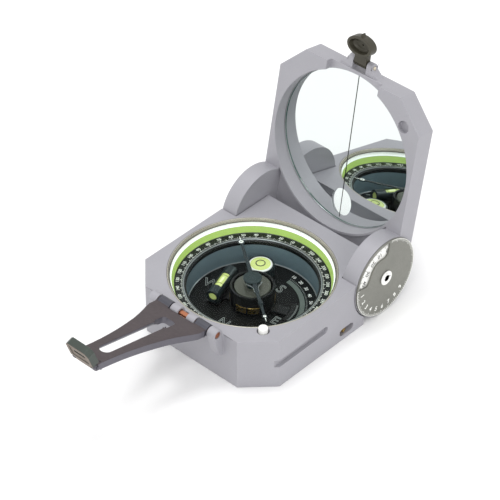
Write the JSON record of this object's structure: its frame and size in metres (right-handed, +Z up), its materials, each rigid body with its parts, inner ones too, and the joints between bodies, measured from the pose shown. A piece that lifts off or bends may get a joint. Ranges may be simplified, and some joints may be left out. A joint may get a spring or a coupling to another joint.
{
  "type": "sighting compass",
  "caption": "Pocket transit compass: dial box with needle and clinometer, mirror lid, folding slotted sighting arm and peep sight",
  "frame": {"origin": "centre of the flat bottom, under the centre of the dial", "axes": "+Z up, +Y towards the lid hinge, +X towards the ear with the inclinometer plate"},
  "size_m": [0.0733, 0.1588, 0.1026],
  "materials": {
    "case": "fine satin, light bluish grey",
    "arm": "dark brown-grey satin",
    "steel": "brushed",
    "copper": "polished, copper coloured",
    "brass": "satin",
    "white": "matte",
    "white_metal": "satin white",
    "lime": "luminous yellow-green",
    "black": "satin black",
    "teal": "dark blue-green satin",
    "needle": "blued",
    "olive": "satin warm grey",
    "dark_olive": "dark olive satin",
    "clear": "clear",
    "mirror": "silvered",
    "rubber": "matte black"
  },
  "bodies": {
    "case": {"base_case": "case", "bottom_cover": "case", "cover_screw_1": "steel", "cover_screw_2": "steel", "cover_screw_3": "steel", "bezel_ring": "brass", "crystal": "clear", "white_ring": "white", "luminous_ring": "lime", "floor_dial": "black", "pivot_post": "steel", "lever_pin": "steel", "lift_spring": "steel", "sight_hinge_pin": "copper", "hinge_screw_right": "white_metal", "hinge_screw_left": "steel", "wave_washer_right": "steel", "wave_washer_left": "steel", "angle_scale": "white"},
    "dial_circle": {"graduated_circle": "black", "drum_gear": "teal"},
    "declination_screw": {"declination_screw": "brass"},
    "lift_pin": {"lift_pin": "white"},
    "lift_lever": {"lift_lever": "steel"},
    "lift_sleeve": {"lift_sleeve": "brass"},
    "needle": {"needle_blade": "needle", "needle_hub": "needle", "magnet_disc": "steel", "counterweight": "copper"},
    "clinometer": {"clinometer_shaft": "steel", "clinometer_lever": "case", "clinometer_frame": "black", "vernier_plate": "teal", "damping_cup": "brass", "long_level_vial": "lime", "level_cap_a": "teal", "level_cap_b": "teal", "round_level_cup": "black", "round_level_glass": "lime"},
    "lid": {"lid_frame": "case", "mirror_glass": "mirror", "mirror_gasket": "rubber", "inclinometer_plate": "olive", "peep_pin": "brass"},
    "peep_sight": {"peep_sight": "dark_olive"},
    "sight_arm": {"sight_arm": "arm", "tip_pin": "brass"},
    "tip_sight": {"tip_sight": "dark_olive"}
  },
  "joints": [
    {"name": "lid_hinge", "type": "hinge", "parent": "case", "child": "lid", "pos_m": [0, 0.03712, 0.0174], "axis": [-1, 0, 0], "range_deg": [-98, 62]},
    {"name": "sight_arm_hinge", "type": "hinge", "parent": "case", "child": "sight_arm", "pos_m": [0, -0.0376, 0.024], "axis": [-1, 0, 0], "range_deg": [-25, 160]},
    {"name": "tip_sight_hinge", "type": "hinge", "parent": "sight_arm", "child": "tip_sight", "pos_m": [0, -0.08884, 0.03495], "axis": [1, 0, 0], "range_deg": [-32, 58]},
    {"name": "peep_sight_hinge", "type": "hinge", "parent": "lid", "child": "peep_sight", "pos_m": [0, 0.06227, 0.08912], "axis": [1, 0, 0], "range_deg": [-110, 90]},
    {"name": "needle_spin", "type": "hinge", "parent": "lift_sleeve", "child": "needle", "pos_m": [0, 0, 0.0187], "axis": [0, 0, 1], "continuous": true},
    {"name": "lift_pin_press", "type": "slide", "parent": "case", "child": "lift_pin", "axis": [0, 0, 1], "range_m": [-0.001, 0], "stiffness_N_per_m": 300, "springref_m": 0.001, "deforming": ["lift_spring"]},
    {"name": "lift_lever_pivot", "type": "hinge", "parent": "case", "child": "lift_lever", "pos_m": [0.01136, -0.00979, 0.0041], "axis": [-0.6529, -0.7574, 0], "range_deg": [-3, 0]},
    {"name": "lift_sleeve_rise", "type": "slide", "parent": "case", "child": "lift_sleeve", "axis": [0, 0, 1], "range_m": [0, 0.0008]},
    {"name": "clinometer_turn", "type": "hinge", "parent": "case", "child": "clinometer", "pos_m": [0, 0, 0.005], "axis": [0, 0, 1], "range_deg": [-75, 75]},
    {"name": "dial_circle_turn", "type": "hinge", "parent": "case", "child": "dial_circle", "pos_m": [0, 0, 0.016], "axis": [0, 0, 1], "continuous": true},
    {"name": "declination_screw_turn", "type": "hinge", "parent": "case", "child": "declination_screw", "pos_m": [0.032, 0.01391, 0.0039], "axis": [0.9171, 0.3987, 0], "continuous": true}
  ],
  "couplings": [
    {"joint": "lift_lever_pivot", "follows": "lift_pin_press", "rad_per_m": 51.5},
    {"joint": "lift_sleeve_rise", "follows": "lift_pin_press", "ratio": -0.773},
    {"joint": "declination_screw_turn", "follows": "dial_circle_turn", "ratio": -24}
  ]
}
